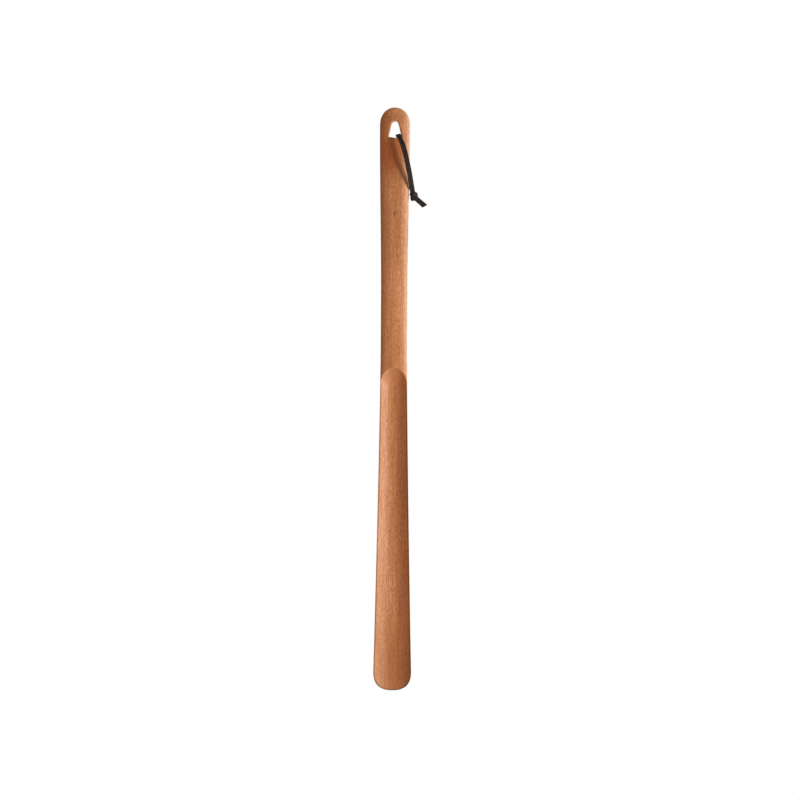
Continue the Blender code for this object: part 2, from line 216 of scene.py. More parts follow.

# Beech's fleck, tones and wear, with painted light and shade among them. A spot is an ellipsoid's
# centre and radii.
SPOT_CORE = 0.3  # share of its radii within which a spot has its full strength
FLECK = ((-0.0003, -CROWN, -0.0952), (0.0011, 0.0040, 0.0034))
FLECK_SHARE, FLECK_COLOUR = 0.90, (0.150, 0.042, 0.016)
UPPER_DARK_HEIGHTS = (-0.270, 0.014)  # the wood gets darker up the handle
UPPER_DARK_TINT = (0.77, 0.75, 0.73)
PAINTED_LIGHT_ACROSS = (0.0055, 0.0125)  # painted light takes that darkening away towards the right, from these heights upwards
PAINTED_LIGHT_HEIGHTS = (-0.120, -0.070)
PAINTED_LIGHT_MOST = 0.9
PAINTED_LIGHT_TOP = (0.003, 0.013)  # and at the top of the head
# Darker and redder round the hang hole and under the thong: partly handling wear, partly the
# thong's painted shadow.
HOLE_WEAR_AND_SHADOW = ((-0.007, 0.0, -0.028), (0.018, 0.060, 0.042))
HOLE_WEAR_AND_SHADOW_TINT = (0.93, 0.76, 0.52)
THONG_WEAR_AND_SHADOW = ((-0.003, -CROWN, -0.036), (0.017, 0.020, 0.024))  # under the swinging thong
THONG_WEAR_AND_SHADOW_TINT = (0.86, 0.72, 0.66)
TIP_HEIGHTS = (-0.580, -0.500)  # the tip is darker and its dashes are calmer
TIP_DASHES = 0.45
TIP_TINT = (0.92, 0.89, 0.85)

# Beech's colour by the way that a face looks: painted shade makes it redder to the left, and
# painted light makes it paler to the right. Each has a band of the normal's X, or of its Z up or
# down, over which the tint sets in.
LEFT_SHADE_BAND, LEFT_SHADE_TINT = (-0.45, 0.10), (1.04, 0.86, 0.66)
RIGHT_LIGHT_BAND, RIGHT_LIGHT_TINT = (0.05, 0.50), (0.98, 1.08, 1.20)
EDGE_SHEEN_HEIGHTS = (-0.262, -0.245)  # a painted sheen makes the handle's right edge, above these, paler still
EDGE_SHEEN_BAND, EDGE_SHEEN_TINT = (0.30, 0.72), (1.05, 1.28, 1.56)
CUT_TONE_AND_LIGHT_BAND, CUT_TONE_AND_LIGHT_TINT = (0.12, 0.50), (1.10, 1.13, 1.24)  # the ramp and faces that tilt up or down: partly the cut wood's paler tone, partly painted light against their shade
END_BAND, END_TINT = (0.60, 0.92), (0.68, 0.60, 0.50)  # end grain at the tip

# Leather: the pace of each pattern and its colour. Faces and cut edges have a darker tone, a
# lighter tone and the depth of their relief.
CREASE_PACE = 1600.0
CREASE_BAND, CREASE_SHARE, CREASE_COLOUR = (0.0, 0.22), 0.5, (0.006, 0.004, 0.004)
MOTTLE_PACE = 420.0
FIBRE_PACE, FIBRE_SHARE = 3800.0, 0.6
FRAY_PACE, FRAY_PLACE = 1000.0, (4.2, 0.3, 1.9)
FRAY_BAND, FRAY_SHARE, FRAY_COLOUR = (0.56, 0.70), 0.6, (0.085, 0.072, 0.070)
LEATHER_STOPS = (0.30, 0.72)  # of the mottle, for the two tones
LEATHER_ROUGHNESS = (0.66, 0.52)
LEATHER_SPECULAR = 0.10
LEATHER_RELIEF_SHARE = 0.7
LEATHER_FACE = ((0.011, 0.006, 0.005), (0.040, 0.023, 0.018), 0.00006)
LEATHER_EDGE = ((0.034, 0.013, 0.006), (0.095, 0.040, 0.018), 0.00004)

# Studio. A lamp is its name, azimuth, distance, height, size and watts.
LAMPS = (
    ("key", 55.0, 1.2, -0.18, (0.26, 0.50), 14.0),
    ("side", 76.0, 1.2, -0.20, (0.40, 0.90), 6.5),
    ("fill", 315.0, 1.4, -0.20, (1.2, 1.3), 5.5),
    ("rim", 120.0, 1.2, -0.22, (0.50, 1.3), 9.0),
    ("back_fill", 200.0, 1.4, -0.2, (1.0, 1.2), 9.0),
)
WORLD_FILL = 0.15  # how much of the white world's light falls on things
FLOOR_CORNERS = ((-0.8, -0.8), (0.8, -0.8), (0.8, 0.55), (-0.8, 0.55))
FLOOR_HEIGHT = -1.20
FLOOR_PACE = 40.0
FLOOR_RAMP = ((0.3, (0.80, 0.80, 0.80)), (0.7, (0.84, 0.84, 0.84)))
FLOOR_ROUGHNESS = 0.8


# ---------------------------------------------------------------- node helpers


class Nodes:
    """A material's node tree, with short calls that make a node, set it and link it."""

    def __init__(self, name):
        self.material = bpy.data.materials.new(name)
        self.material.use_nodes = True
        self.tree = self.material.node_tree
        self.shader = self.tree.nodes["Principled BSDF"]

    def add(self, kind, **settings):
        node = self.tree.nodes.new(kind)
        for key, value in settings.items():
            setattr(node, key, value)
        return node

    def link(self, source, target):
        self.tree.links.new(source, target)

    def feed(self, socket, value):
        """Links a socket to another one, or sets it to a plain value."""
        if isinstance(value, bpy.types.NodeSocket):
            self.link(value, socket)
        else:
            socket.default_value = value

    def place(self, pace, offset=(0.0, 0.0, 0.0)):
        """Object coordinates times a pace on each axis, which gives a texture its grain."""
        coords = self.add("ShaderNodeTexCoord")
        mapping = self.add("ShaderNodeMapping")
        mapping.inputs["Scale"].default_value = pace
        mapping.inputs["Location"].default_value = offset
        self.link(coords.outputs["Object"], mapping.inputs["Vector"])
        return mapping.outputs["Vector"]

    def axes(self, vector):
        """A vector's x, y and z."""
        node = self.add("ShaderNodeSeparateXYZ")
        self.link(vector, node.inputs["Vector"])
        return node.outputs

    def noise(self, vector, detail=2.0, roughness=0.5, distortion=0.0):
        node = self.add("ShaderNodeTexNoise")
        self.link(vector, node.inputs["Vector"])
        node.inputs["Scale"].default_value = 1.0
        node.inputs["Detail"].default_value = detail
        node.inputs["Roughness"].default_value = roughness
        node.inputs["Distortion"].default_value = distortion
        return node.outputs["Fac"]

    def math(self, operation, first, second=0.0):
        node = self.add("ShaderNodeMath", operation=operation)
        self.feed(node.inputs[0], first)
        self.feed(node.inputs[1], second)
        return node.outputs[0]

    def times(self, first, second):
        return self.math("MULTIPLY", first, second)

    def band(self, value, low, high, out_low=0.0, out_high=1.0):
        """value taken smoothly from low..high to out_low..out_high."""
        node = self.add("ShaderNodeMapRange", interpolation_type="SMOOTHSTEP")
        self.link(value, node.inputs["Value"])
        node.inputs["From Min"].default_value = low
        node.inputs["From Max"].default_value = high
        node.inputs["To Min"].default_value = out_low
        node.inputs["To Max"].default_value = out_high
        return node.outputs["Result"]

    def ramp(self, value, stops):
        """Colours between two stops, each a share and a colour."""
        node = self.add("ShaderNodeValToRGB")
        for element, (share, colour) in zip(node.color_ramp.elements, stops):
            element.position = share
            element.color = (*colour, 1.0)
        self.link(value, node.inputs["Fac"])
        return node.outputs["Color"]

    def blend(self, share, first, second, mode="MIX"):
        node = self.add("ShaderNodeMix", data_type="RGBA", blend_type=mode)
        self.feed(node.inputs["Factor"], share)
        self.feed(node.inputs["A"], first)
        self.feed(node.inputs["B"], second)
        return node.outputs["Result"]

    def paint(self, share, colour, paint):
        """The colour, and a plain one where the share is 1."""
        return self.blend(share, colour, (*paint, 1.0))

    def tint(self, share, colour, factors):
        """The colour, and its product with three factors where the share is 1."""
        return self.blend(share, colour, self.blend(1.0, colour, (*factors, 1.0), "MULTIPLY"))

    def spot(self, centre, radii):
        """1 in the middle of an ellipsoid and 0 from its surface outwards."""
        offset = [-place / radius for place, radius in zip(centre, radii)]
        length = self.add("ShaderNodeVectorMath", operation="LENGTH")
        self.link(self.place([1.0 / radius for radius in radii], offset), length.inputs[0])
        return self.band(length.outputs["Value"], SPOT_CORE, 1.0, 1.0, 0.0)

    def bump(self, height, distance, strength):
        node = self.add("ShaderNodeBump")
        node.inputs["Strength"].default_value = strength
        node.inputs["Distance"].default_value = distance
        self.link(height, node.inputs["Height"])
        return node.outputs["Normal"]


# ---------------------------------------------------------------- numbers and meshes


def mix(first, second, share):
    return first + (second - first) * share


def smooth_step(low, high, value):
    """0 up to low and 1 from high on, level at both ends."""
    share = min(max((value - low) / (high - low), 0.0), 1.0)
    return share * share * (3.0 - 2.0 * share)


def add_object(name, data, *materials):
    made = bpy.data.objects.new(name, data)
    bpy.context.scene.collection.objects.link(made)
    for material in materials:
        data.materials.append(material)
    return made


def finish_mesh(bm, name):
    bmesh.ops.recalc_face_normals(bm, faces=bm.faces)
    for face in bm.faces:
        face.smooth = True
    mesh = bpy.data.meshes.new(name)
    bm.to_mesh(mesh)
    bm.free()
    return mesh


def settle_modifiers(obj):
    """Replaces an object's mesh with what its modifiers make of it."""
    graph = bpy.context.evaluated_depsgraph_get()
    mesh = bpy.data.meshes.new_from_object(obj.evaluated_get(graph))
    obj.modifiers.clear()
    obj.data = mesh


def join_rings(bm, upper, lower):
    count = len(upper)
    faces = []
    for i in range(count):
        corners = (upper[i], upper[(i + 1) % count], lower[(i + 1) % count], lower[i])
        faces.append(bm.faces.new(corners))
    return faces


def close_with_pole(bm, loop, pole):
    for i in range(len(loop)):
        bm.faces.new((loop[i], loop[(i + 1) % len(loop)], pole))


# ---------------------------------------------------------------- wood's form


def rolled(inset_by, radius):
    """A quarter circle's height: 0 on the outline, 1 from the radius inwards."""
    share = min(max(inset_by / radius, 0.0), 1.0)
    return math.sqrt(1.0 - (1.0 - share) ** 2)


def side_width(down):
    """Half the width, as if the two ends weren't rounded off."""
    if down < WAIST_START:
        return mix(HEAD_WIDTH, WAIST_WIDTH, smooth_step(HEAD_END, WAIST_START, down)) / 2
    flare_length = LENGTH - TIP_LENGTH - WAIST_END
    flare = min(max(down - WAIST_END, 0.0) / flare_length, 1.0)
    return mix(WAIST_WIDTH, BLADE_WIDTH, flare**FLARE_EASE) / 2


def head_share(x, down):
    """0 on the handle's centre line and 1 on its outline, the round end included."""
    beyond = max(HEAD_LENGTH - down, 0.0) / HEAD_LENGTH
    return math.sqrt((x / side_width(down)) ** 2 + beyond**HEAD_ALONG)


def tip_share(x, down):
    """0 on the blade's centre line and 1 on its outline, the rounded tip included."""
    beyond = max(down - (LENGTH - TIP_LENGTH), 0.0) / TIP_LENGTH
    across = abs(x) / side_width(down)
    return math.sqrt(across**TIP_ACROSS + beyond**TIP_ALONG)


def outline(down):
    """Half the width, ends included."""
    half = side_width(down)
    if down < HEAD_LENGTH:
        return half * math.sqrt(max(1.0 - (1.0 - down / HEAD_LENGTH) ** HEAD_ALONG, 0.0))
    beyond = max(down - (LENGTH - TIP_LENGTH), 0.0) / TIP_LENGTH
    return half * max(1.0 - beyond**TIP_ALONG, 0.0) ** (1 / TIP_ACROSS)


def inset(x, down):
    """Distance inwards from the outline."""
    half = side_width(down)
    if down < HEAD_LENGTH:
        return half * (1.0 - head_share(x, down))
    return min(half, TIP_LENGTH) * (1.0 - tip_share(x, down))


def dome(x, down):
    """1 on the handle's centre line, and down to 0 at its outline along an ellipse."""
    return math.sqrt(max(1.0 - head_share(x, down) ** 2, 0.0))


def blank_front(x, down):
    return -CROWN * dome(x, down)


def blank_back(x, down):
    return mix(HEAD_BACK, WAIST_BACK, smooth_step(HEAD_END, SCOOP_START, down)) * dome(x, down)


def along_blade(down):
    return min(max(down - SCOOP_START, 0.0) / (LENGTH - SCOOP_START), 1.0)


def rim_line(down):
    """Y of the channel's rim: RIM / 2 in front of the edge line, and more just below the arch."""
    lift = RIM_LIFT * (1.0 - smooth_step(SCOOP_START, SCOOP_START + LIFT_LENGTH, down))
    return -RIM / 2 - lift


def channel(x, down):
    """The channel's surface once the ramp has levelled out: an arc from rim to rim."""
    half = side_width(down)
    depth = mix(SCOOP_DEPTH, TIP_DEPTH, along_blade(down))
    radius = (half**2 + depth**2) / (2.0 * depth)
    return rim_line(down) + depth - radius + math.sqrt(radius**2 - x**2)


def ramp_height(down):
    """How far the gouge still is from the channel's full depth."""
    total = CROWN + SCOOP_DEPTH + rim_line(SCOOP_START)
    straight = total / RAMP_SLOPE - RAMP_EASE / 2
    run = down - SCOOP_START
    if run < straight:
        return total - RAMP_SLOPE * run
    left = max(straight + RAMP_EASE - run, 0.0)
    return RAMP_SLOPE * left**2 / (2.0 * RAMP_EASE)


def blade_wall(x, down):
    middle = mix(WALL, TIP_WALL, along_blade(down))
    return mix(middle, RIM, (x / side_width(down)) ** 2)


def edge_line(down):
    """Y of the outline: 0, except round the tip, where it follows the blade's bowl."""
    if down <= LENGTH - TIP_LENGTH:
        return 0.0
    edge = outline(down)
    return channel(edge, down) + blade_wall(edge, down) / 2


def gouged_front(x, down):
    surface = channel(x, down) - ramp_height(down)
    return mix(edge_line(down), surface, rolled(inset(x, down), RIM / 2))


def blade_back(x, down):
    surface = channel(x, down) + blade_wall(x, down)
    return mix(edge_line(down), surface, rolled(inset(x, down), RIM / 2))


def front(x, down):
    """The deeper of the two cuts, with the ridge between them eased."""
    blank = blank_front(x, down)
    gouged = gouged_front(x, down)
    reach = ARCH_SOFTNESS * min(inset(x, down) / RIM, 1.0)
    if reach <= 0.0:
        return max(blank, gouged)
    near = max(1.0 - abs(blank - gouged) / reach, 0.0)
    return max(blank, gouged) + reach * near**2 / 4


def back(x, down):
    share = smooth_step(SCOOP_START, SCOOP_START + BACK_BLEND, down)
    return mix(blank_back(x, down), blade_back(x, down), share)


def sweep(down):
    """How far the blade leans forward."""
    share = max(down - SWEEP_START, 0.0) / (LENGTH - SWEEP_START)
    return TIP_SWEEP * share**2


def arch_drop(column):
    """How far below its top the scoop's arched edge crosses a column, a share of the half width."""
    column = min(abs(column), ARCH_FOOT)
    low = SCOOP_START
    high = SCOOP_START + 2.0 * (CROWN + SCOOP_DEPTH) / RAMP_SLOPE
    for _ in range(HALVINGS):
        middle = (low + high) / 2
        x = column * side_width(middle)
        if gouged_front(x, middle) < blank_front(x, middle):
            low = middle
        else:
            high = middle
    return low - SCOOP_START


def warp(row):
    """How much of the arch a row follows: all of it on the arch itself, and none away from it."""
    run = row - SCOOP_START
    reach = WARP_BELOW if run > 0 else WARP_ABOVE
    return max(1.0 - (run / reach) ** 2, 0.0) ** 2


def rim_shade_share(x, down, start):
    """The share of the rim's painted shade: 1 on the blade's thin rim and 0 further in, from a
    distance down at which it starts.
    """
    blade = smooth_step(start, start + RIM_SHADE_FADE, down)
    return blade * (1.0 - smooth_step(*RIM_SHADE_INSETS, inset(x, down)))


def spaced(first, last, step):
    """Evenly spaced values from first up to but not including last, no further apart than step."""
    count = max(1, math.ceil((last - first) / step))
    return [mix(first, last, i / count) for i in range(count)]


def body_rows():
    """Distances down at which the wood gets a ring of points, apart from its two poles."""
    quarter = math.pi / 2
    hole_end = HOLE_DOWN + HOLE_HEIGHT + 2 * HOLE_ROW_STEP
    rows = []
    for i in range(1, END_ROWS):
        beyond = math.cos(quarter * i / END_ROWS) ** (2 / HEAD_ALONG)
        rows.append(HEAD_LENGTH * (1.0 - beyond))
    rows += spaced(HEAD_LENGTH, hole_end, HOLE_ROW_STEP)
    rows += spaced(hole_end, SCOOP_START - ARCH_STEPS[-1], LONG_ROW_STEP)
    rows += [SCOOP_START - step for step in reversed(ARCH_STEPS)]
    rows += [SCOOP_START]
    rows += [SCOOP_START + step for step in ARCH_STEPS[:STEPS_BELOW_ARCH]]
    rows += spaced(rows[-1] + RAMP_ROW_STEP, SCOOP_START + RAMP_REACH, RAMP_ROW_STEP)
    blade_end = LENGTH - TIP_LENGTH
    rows += spaced(SCOOP_START + RAMP_REACH, blade_end, LONG_ROW_STEP)
    for i in range(END_ROWS):
        beyond = math.sin(quarter * i / END_ROWS) ** (2 / TIP_ALONG)
        rows.append(blade_end + TIP_LENGTH * beyond)
    return rows


# ---------------------------------------------------------------- wood's meshes


def surface_point(x, y, down):
    return Vector((x, y - sweep(down), HOLE_DOWN - down))


def ring(bm, row, columns, drops):
    """One loop of points round the wood: across the front, then back across the rear."""
    layer = bm.verts.layers.float.get(RIM_SHADE_LAYER)
    across = list(zip(columns, drops))
    sides = (
        (front, SCOOP_START + RIM_SHADE_FADE / 2, across),
        (back, SCOOP_START + BACK_BLEND, across[-2:0:-1]),
    )
    made = []
    for surface, rim_shade_start, stops in sides:
        for column, drop in stops:
            down = row + drop * warp(row)
            x = column * outline(down)
            vertex = bm.verts.new(surface_point(x, surface(x, down), down))
            # the share of the rim's painted shade at this point
            vertex[layer] = rim_shade_share(x, down, rim_shade_start)
            made.append(vertex)
    return made


def make_wood_mesh():
    bm = bmesh.new()
    bm.verts.layers.float.new(RIM_SHADE_LAYER)
    quarter = math.pi / 2
    steps = range(-HALF_COLUMNS, HALF_COLUMNS + 1)
    columns = [math.sin(quarter * i / HALF_COLUMNS) for i in steps]
    drops = [arch_drop(column) for column in columns]
    rings = [ring(bm, row, columns, drops) for row in body_rows()]
    for upper, lower in zip(rings, rings[1:]):
        join_rings(bm, upper, lower)
    close_with_pole(bm, rings[0], bm.verts.new(surface_point(0.0, 0.0, 0.0)))
    close_with_pole(bm, rings[-1], bm.verts.new(surface_point(0.0, edge_line(LENGTH), LENGTH)))
    return finish_mesh(bm, "shoehorn_wood")


def hole_circles():
    """Circles (x, z, radius) whose hull is the hole's outline, anticlockwise from the top."""
    corner_x = HOLE_WIDTH / 2 - HOLE_CORNER_RADIUS
    corner_z = -(HOLE_HEIGHT - HOLE_FLOOR_SAG - HOLE_CORNER_RADIUS)
    return (
        (0.0, -HOLE_TOP_RADIUS, HOLE_TOP_RADIUS),
        (-corner_x, corner_z, HOLE_CORNER_RADIUS),
        (0.0, HOLE_FLOOR_RADIUS - HOLE_HEIGHT, HOLE_FLOOR_RADIUS),
        (corner_x, corner_z, HOLE_CORNER_RADIUS),
    )


def tangent_angle(first, second):
    """Direction of the outward normal of the line that touches two circles from outside."""
    run = (second[0] - first[0], second[1] - first[1])
    turn = math.asin((first[2] - second[2]) / math.hypot(*run))
    return math.atan2(run[1], run[0]) - math.pi / 2 + turn


def hole_outline(grow):
    """Points (x, z) round the hole, moved outwards by grow."""
    circles = hole_circles()
    turns = [tangent_angle(circles[i - 1], circle) for i, circle in enumerate(circles)]
    points = []
    for i, (x, z, radius) in enumerate(circles):
        start, end = turns[i], turns[(i + 1) % len(circles)]
        swing = (end - start) % (2.0 * math.pi)
        for step in range(CIRCLE_STEPS):
            angle = start + swing * step / (CIRCLE_STEPS - 1)
            reach = radius + grow
            points.append((x + reach * math.cos(angle), z + reach * math.sin(angle)))
    return points


def make_hole_cutter():
    """A plug through the wood, flared where it leaves each face so that the mouths are softened."""
    bm = bmesh.new()
    mouth = hole_outline(MOUTH_RADIUS)
    front_y = [front(x, HOLE_DOWN - z) + MOUTH_STEP for x, z in mouth]
    back_y = [back(x, HOLE_DOWN - z) - MOUTH_STEP for x, z in mouth]
    angles = [math.pi / 2 * i / MOUTH_STEPS for i in range(MOUTH_STEPS + 1)]
    loops = [[bm.verts.new((x, y - CROWN, z)) for (x, z), y in zip(mouth, front_y)]]
    for side, levels, order in ((1.0, front_y, angles), (-1.0, back_y, angles[::-1])):
        for angle in order:
            points = hole_outline(MOUTH_RADIUS * (1.0 - math.sin(angle)))
            sunk = side * MOUTH_RADIUS * (1.0 - math.cos(angle))
            loops.append([bm.verts.new((x, y + sunk, z)) for (x, z), y in zip(points, levels)])
    loops.append([bm.verts.new((x, y + HEAD_BACK, z)) for (x, z), y in zip(mouth, back_y)])
    for upper, lower in zip(loops, loops[1:]):
        join_rings(bm, upper, lower)
    bm.faces.new(loops[0])
    bm.faces.new(loops[-1])
    return finish_mesh(bm, "hang_hole_cutter")


def make_wood(material):
    cutter = add_object("hang_hole_cutter", make_hole_cutter())
    wood = add_object("shoehorn_wood", make_wood_mesh(), material)
    hole = wood.modifiers.new("hang_hole", "BOOLEAN")
    hole.operation = "DIFFERENCE"
    hole.solver = "EXACT"
    hole.object = cutter
    wood.modifiers.new("shading", "WEIGHTED_NORMAL")
    settle_modifiers(wood)
    bpy.data.objects.remove(cutter, do_unlink=True)
    return wood


# ---------------------------------------------------------------- thong's form


def smooth_route(points, count):
    """Evenly spaced points on a Catmull-Rom curve through a given route."""
    knots = [Vector(point) for point in points]
    knots = [2 * knots[0] - knots[1]] + knots + [2 * knots[-1] - knots[-2]]
    fine = []
    for span in range(len(points) - 1):
        a, b, c, d = knots[span : span + 4]
        for i in range(SPAN_STEPS):
            t = i / SPAN_STEPS
            linear = (c - a) * t
            square = (2 * a - 5 * b + 4 * c - d) * t**2
            cube = (3 * b - a - 3 * c + d) * t**3
            fine.append(0.5 * (2 * b + linear + square + cube))
    fine.append(knots[-2])
    lengths = [0.0]
    for first, second in zip(fine, fine[1:]):
        lengths.append(lengths[-1] + (second - first).length)
    route = []
    span = 0
    for i in range(count):
        target = lengths[-1] * i / (count - 1)
        while span < len(fine) - 2 and lengths[span + 1] < target:
            span += 1
        share = (target - lengths[span]) / (lengths[span + 1] - lengths[span])
        route.append(fine[span].lerp(fine[span + 1], min(share, 1.0)))
    return route


def lace_section():
    """Offsets (across, through) round a cut lace: two broad faces and two square edges, eased."""
    reach = THONG_WIDTH / 2 - LACE_EASE
    depth = THONG_THICKNESS / 2 - LACE_EASE
    points = []
    for side, face, start in ((1, -1, -90), (1, 1, 0), (-1, 1, 90), (-1, -1, 180)):
        for step in range(LACE_CORNER_STEPS + 1):
            angle = math.radians(start + 90 * step / LACE_CORNER_STEPS)
            across = side * reach + LACE_EASE * math.cos(angle)
            through = face * depth + LACE_EASE * math.sin(angle)
            points.append((across, through))
        if side == face:
            for step in range(1, LACE_FACE_STEPS):
                across = side * mix(reach, -reach, step / LACE_FACE_STEPS)
                points.append((across, face * THONG_THICKNESS / 2))
    return points


LACE_SECTION = lace_section()


def is_cut_edge(index):
    """Whether the section's face from this point to the next lies on a cut edge."""
    first = LACE_SECTION[index]
    second = LACE_SECTION[(index + 1) % len(LACE_SECTION)]
    return abs(first[0] + second[0]) / 2 > THONG_WIDTH / 2 - CUT_EDGE_DEPTH


def wavered_section(travelled, seed):
    """The section at a distance along a lace: its edges waver, and its faces swell and cup."""
    points = []
    for u, v in LACE_SECTION:
        edge = 1.0 if u > 0 else 2.0
        out = 2 * u / THONG_WIDTH
        waver = 0.0
        for pace, reach in WAVERS:
            waver += noise.noise(Vector((travelled * pace, seed, edge))) * reach
        along, over = travelled * SWELL_PACE[0], u * SWELL_PACE[1]
        swell = noise.noise(Vector((along, over, seed + SWELL_SEED))) * SWELL_REACH
        lift = CUP * (1.0 - out**2) + math.copysign(swell, v)
        points.append((u + math.copysign(waver, u) * abs(out), v + lift))
    return points


def make_lace(name, points, across, seed, turn, width, slant, materials):
    """A cut leather lace along a route, with the slight waver of hand-cut, handled leather.

    turn and width give its twist and its share of plain width along the route. slant is how far
    its last end is cut askew, for each unit of width. materials are its faces' and its cut edges'.
    """
    bm = bmesh.new()
    loops = []
    travelled = 0.0
    for i, point in enumerate(points):
        if i:
            travelled += (point - points[i - 1]).length
        run = (points[min(i + 1, len(points) - 1)] - points[max(i - 1, 0)]).normalized()
        wide = Vector(across)
        wide = (wide - run * wide.dot(run)).normalized()
        share = i / (len(points) - 1)
        wide = Matrix.Rotation(turn(share), 3, run) @ wide
        thick = run.cross(wide)
        loop = []
        for u, v in wavered_section(travelled, seed):
            u *= width(share)
            askew = run * (u * slant * share**3)
            loop.append(bm.verts.new(point + wide * u + thick * v + askew))
        loops.append(loop)
    for first, second in zip(loops, loops[1:]):
        for index, face in enumerate(join_rings(bm, first, second)):
            face.material_index = 1 if is_cut_edge(index) else 0
    for cap in (loops[0], loops[-1]):
        bm.faces.new(cap).material_index = 1
    return add_object(name, finish_mesh(bm, name), *materials)


def loop_twist(share):
    return LOOP_TWIST * math.sin(LOOP_TWIST_PACE * share)


def loop_width(share):
    """The lace is at its full width in its strands, and is pinched where it fills the hang hole."""
    return mix(1.0, STRAND_SPREAD, smooth_step(*PINCH, abs(share - 0.5)))


def loop_route():
    behind = [(x, -y, z) for x, y, z in reversed(LOOP_FRONT)]
    into_knot = Vector(LOOP_FRONT[0]).lerp(Vector(KNOT_CENTRE), INTO_KNOT)
    out_of_knot = (into_knot.x, -into_knot.y, into_knot.z)
    return smooth_route([into_knot, *LOOP_FRONT, LOOP_MIDDLE, *behind, out_of_knot], LOOP_POINTS)


def make_tail(name, side, seed, materials):
    last = len(TAIL_ROUTE) - 1
    line = [
        (x, side * (TAIL_OFFSET + TAIL_SPREAD * (i / last) ** 2), z)
        for i, (x, _, z) in enumerate(TAIL_ROUTE)
    ]
    return make_lace(
        f"thong_tail_{name}_lace",
        smooth_route(line, TAIL_POINTS),
        across=TAIL_ACROSS,
        seed=seed,
        turn=lambda share: 0.0,
        width=lambda share: STRAND_SPREAD,
        slant=TAIL_SLANT,
        materials=materials,
    )


def squarish(value, power):
    return math.copysign(abs(value) ** power, value)


def add_band(bm, centre, radii, tilt, lean, width):
    """A flat band that wraps the knot: an ellipse leaned about X, then tilted about Y."""
    spin = Matrix.Rotation(math.radians(tilt), 3, "Y") @ Matrix.Rotation(math.radians(lean), 3, "X")
    loops = []
    for i in range(BAND_STEPS):
        angle = math.radians(360.0 * (i / BAND_STEPS))
        point = Vector((radii[0] * math.cos(angle), radii[1] * math.sin(angle), 0.0))
        out = Vector((math.cos(angle) / radii[0], math.sin(angle) / radii[1], 0.0)).normalized()
        loop = []
        for step in range(BAND_SECTION_STEPS):
            around = math.radians(360 / BAND_SECTION_STEPS * step)
            side = squarish(math.cos(around), BAND_SQUARENESS[0]) * width / 2
            rise = squarish(math.sin(around), BAND_SQUARENESS[1]) * BAND_THICKNESS / 2
            place = point + out * rise + Vector((0.0, 0.0, side))
            loop.append(bm.verts.new(Vector(centre) + spin @ place))
        loops.append(loop)
    for i, loop in enumerate(loops):
        join_rings(bm, loop, loops[(i + 1) % BAND_STEPS])


def make_knot(material):
    """An overhand knot pulled tight: crossing turns of lace round a core, merged to one skin."""
    bm = bmesh.new()
    bmesh.ops.create_uvsphere(bm, u_segments=CORE_SEGMENTS, v_segments=CORE_RINGS, radius=1.0)
    for vertex in bm.verts:
        shares = [squarish(share, CORE_SQUARENESS) for share in vertex.co]
        vertex.co = Vector([share * half for share, half in zip(shares, CORE_SIZE)])
    for band in KNOT_BANDS:
        add_band(bm, *band)
    knot = add_object("thong_knot_skin", finish_mesh(bm, "thong_knot_skin"), material)
    remesh = knot.modifiers.new("skin", "REMESH")
    remesh.mode = "VOXEL"
    remesh.voxel_size = SKIN_VOXEL
    remesh.use_smooth_shade = True
    ease = knot.modifiers.new("ease", "SMOOTH")
    ease.factor = SKIN_EASE
    ease.iterations = SKIN_EASE_ROUNDS
    settle_modifiers(knot)
    place = Matrix.Translation(Vector(KNOT_CENTRE) + Vector(SKIN_SHIFT))
    knot.data.transform(place @ Matrix.Rotation(SKIN_LEAN, 4, "Y"))
    return knot


# ---------------------------------------------------------------- materials


def beech_figure(n, height, streak, pores):
    """Beech's colour: broad tones, with streaks, dashes, fine grain, rays and pores in them."""
    broad = n.noise(n.place(BROAD_PACE), detail=3.0, distortion=0.4)
    dash = n.noise(n.place(DASH_PACE, DASH_PLACE), detail=3.0, roughness=0.6)
    fine = n.noise(n.place(FINE_PACE))
    ray = n.noise(n.place(RAY_PACE, RAY_PLACE), detail=0.0)
    colour = n.ramp(broad, TONE_RAMP)
    colour = n.blend(1.0, colour, n.ramp(streak, STREAK_RAMP), "MULTIPLY")
    dashed = n.blend(1.0, colour, n.ramp(dash, DASH_RAMP), "MULTIPLY")
    colour = n.blend(n.band(height, *TIP_HEIGHTS, TIP_DASHES, 1.0), colour, dashed)
    colour = n.blend(1.0, colour, n.ramp(fine, FINE_RAMP), "MULTIPLY")
    colour = n.paint(n.times(n.band(ray, *RAY_BAND), RAY_SHARE), colour, RAY_COLOUR)
    return n.paint(n.times(pores, PORE_SHARE), colour, PORE_COLOUR)


def beech_wear_and_painted_light(n, colour, across, height, tip):
    """The one dark fleck, darker wood up the handle and at the tip, painted light on the head's
    right and top, and wear with the thong's painted shadow round the hole.
    """
    colour = n.paint(n.times(n.spot(*FLECK), FLECK_SHARE), colour, FLECK_COLOUR)
    # painted light on the head's right side and top undoes the darkening there
    painted_light = n.times(n.band(across, *PAINTED_LIGHT_ACROSS), n.band(height, *PAINTED_LIGHT_HEIGHTS, 0.0, PAINTED_LIGHT_MOST))
    painted_light = n.math("MAXIMUM", painted_light, n.band(height, *PAINTED_LIGHT_TOP))
    upper_dark = n.times(n.band(height, *UPPER_DARK_HEIGHTS), n.math("SUBTRACT", 1.0, painted_light))
    colour = n.tint(upper_dark, colour, UPPER_DARK_TINT)
    # handling wear together with the thong's painted shadow
    colour = n.tint(n.spot(*HOLE_WEAR_AND_SHADOW), colour, HOLE_WEAR_AND_SHADOW_TINT)
    colour = n.tint(n.spot(*THONG_WEAR_AND_SHADOW), colour, THONG_WEAR_AND_SHADOW_TINT)
    return n.tint(tip, colour, TIP_TINT)


